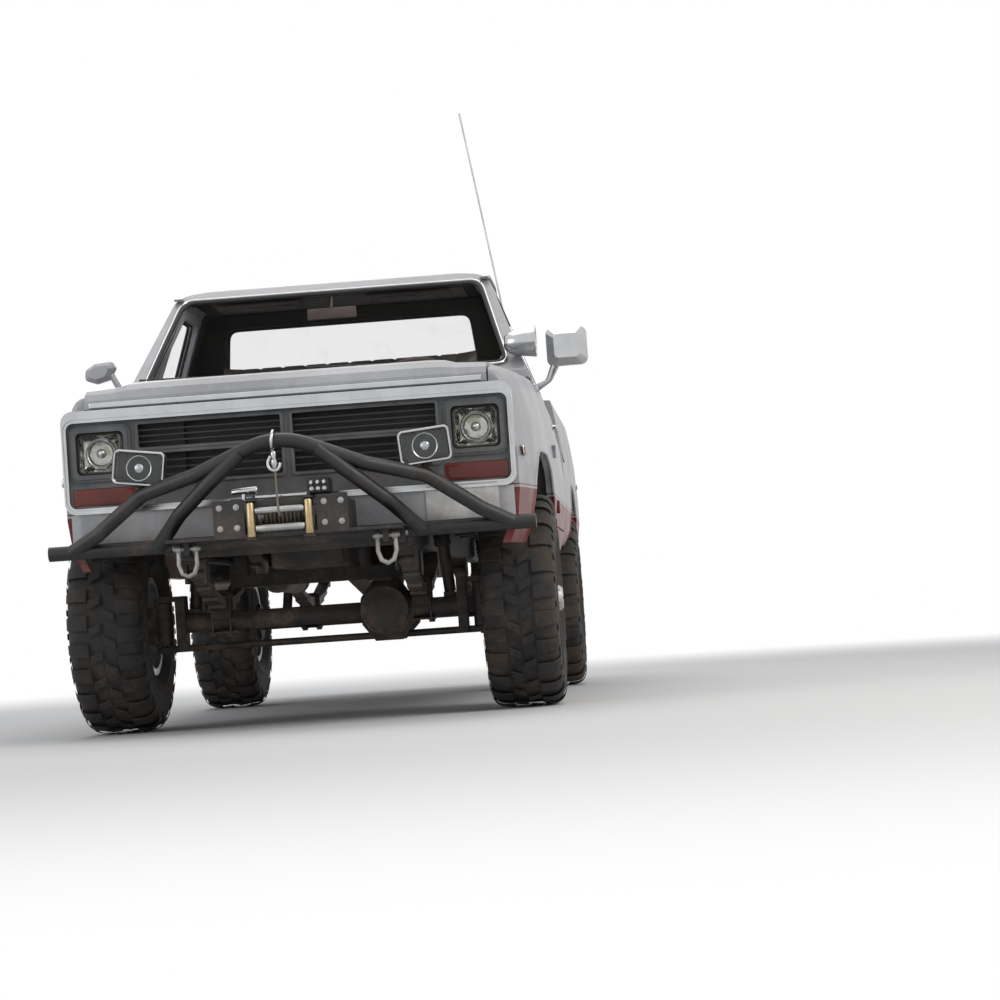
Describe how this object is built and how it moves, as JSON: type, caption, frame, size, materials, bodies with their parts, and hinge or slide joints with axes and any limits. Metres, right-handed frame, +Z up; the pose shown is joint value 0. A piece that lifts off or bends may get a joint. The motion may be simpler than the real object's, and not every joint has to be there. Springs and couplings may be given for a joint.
{
  "type": "lifted off-road pickup truck",
  "caption": "Regular-cab four-wheel-drive pickup on a raised ladder frame, with mud tyres, tube front bumper, winch, opening doors, hood and tailgate.",
  "frame": {"origin": "on the ground under the middle of the truck's length, on its centre plane", "axes": "+X to the truck's left, -Y ahead to its nose, +Y back to its tail, +Z up"},
  "size_m": [2.3067, 5.215, 2.9007],
  "materials": {
    "body_paint": "weathered gloss",
    "chassis_black": "satin, dusty",
    "cast_metal": "rough",
    "spring_steel": "dull",
    "exhaust_steel": "dull, heat stained",
    "wheel_silver": "satin",
    "tyre_rubber": "matt",
    "chrome_trim": "polished",
    "grille_grey": "matt",
    "lamp_clear": "ribbed",
    "lamp_red": "gloss",
    "window_glass": "clear",
    "black_plastic": "matt",
    "dash_plastic": "matt",
    "seat_cloth": "woven",
    "tube_black": "powder coated",
    "winch_grey": "satin",
    "zinc_steel": "zinc plated",
    "tank_black": "dull",
    "antenna_white": "satin"
  },
  "bodies": {
    "chassis": {"frame": "chassis_black", "suspension": "spring_steel", "front_axle": "cast_metal", "rear_axle": "cast_metal", "cab": "body_paint", "cab_glass": "window_glass", "front_wings": "body_paint", "grille_surround": "chrome_trim", "grille": "grille_grey", "front_lamps": "lamp_clear", "radiator_support": "chassis_black", "valance": "body_paint", "bed": "body_paint", "tail_lamps": "lamp_red", "tube_bumper": "tube_black", "winch": "winch_grey", "tow_shackles": "zinc_steel", "aux_lamps": "black_plastic", "rear_bumper": "chrome_trim", "dashboard": "dash_plastic", "bench_seat": "seat_cloth", "engine_block": "cast_metal", "driveline": "cast_metal", "exhaust": "exhaust_steel", "fuel_tank": "tank_black", "antenna": "antenna_white"},
    "knuckle_left": {"knuckle_left": "cast_metal"},
    "knuckle_right": {"knuckle_right": "cast_metal"},
    "tie_rod": {"tie_rod": "spring_steel"},
    "wheel_front_left": {"tyre_front_left": "tyre_rubber", "rim_front_left": "wheel_silver"},
    "wheel_front_right": {"tyre_front_right": "tyre_rubber", "rim_front_right": "wheel_silver"},
    "wheel_rear_left": {"tyre_rear_left": "tyre_rubber", "rim_rear_left": "wheel_silver"},
    "wheel_rear_right": {"tyre_rear_right": "tyre_rubber", "rim_rear_right": "wheel_silver"},
    "door_left": {"door_left": "body_paint", "door_glass_left": "window_glass", "mirror_left": "chrome_trim"},
    "door_right": {"door_right": "body_paint", "door_glass_right": "window_glass", "mirror_right": "body_paint"},
    "hood": {"hood": "body_paint"},
    "tailgate": {"tailgate": "body_paint"}
  },
  "joints": [
    {"name": "steer_left", "type": "hinge", "parent": "chassis", "child": "knuckle_left", "pos_m": [0.68, -1.4895, 0.4445], "axis": [0, 0, 1], "range_deg": [-30, 30]},
    {"name": "steer_right", "type": "hinge", "parent": "chassis", "child": "knuckle_right", "pos_m": [-0.68, -1.4895, 0.4445], "axis": [0, 0, 1], "range_deg": [-30, 30]},
    {"name": "tie_rod_pivot", "type": "hinge", "parent": "knuckle_left", "child": "tie_rod", "pos_m": [0.68, -1.3245, 0.3395], "axis": [0, 0, 1], "range_deg": [-30, 30]},
    {"name": "wheel_front_left_spin", "type": "hinge", "parent": "knuckle_left", "child": "wheel_front_left", "pos_m": [0.855, -1.4895, 0.4445], "axis": [1, 0, 0], "continuous": true},
    {"name": "wheel_front_right_spin", "type": "hinge", "parent": "knuckle_right", "child": "wheel_front_right", "pos_m": [-0.855, -1.4895, 0.4445], "axis": [1, 0, 0], "continuous": true},
    {"name": "wheel_rear_left_spin", "type": "hinge", "parent": "chassis", "child": "wheel_rear_left", "pos_m": [0.855, 1.4315, 0.4445], "axis": [1, 0, 0], "continuous": true},
    {"name": "wheel_rear_right_spin", "type": "hinge", "parent": "chassis", "child": "wheel_rear_right", "pos_m": [-0.855, 1.4315, 0.4445], "axis": [1, 0, 0], "continuous": true},
    {"name": "door_left_hinge", "type": "hinge", "parent": "chassis", "child": "door_left", "pos_m": [1.004, -0.7375, 1], "axis": [0, 0, -1], "range_deg": [0, 65]},
    {"name": "door_right_hinge", "type": "hinge", "parent": "chassis", "child": "door_right", "pos_m": [-1.004, -0.7375, 1], "axis": [0, 0, 1], "range_deg": [0, 65]},
    {"name": "hood_hinge", "type": "hinge", "parent": "chassis", "child": "hood", "pos_m": [0, -0.9095, 1.474], "axis": [-1, 0, 0], "range_deg": [0, 60]},
    {"name": "tailgate_hinge", "type": "hinge", "parent": "chassis", "child": "tailgate", "pos_m": [0, 2.4115, 0.983], "axis": [-1, 0, 0], "range_deg": [0, 90]}
  ],
  "couplings": [
    {"joint": "steer_right", "follows": "steer_left", "ratio": 1},
    {"joint": "tie_rod_pivot", "follows": "steer_left", "ratio": -1}
  ]
}
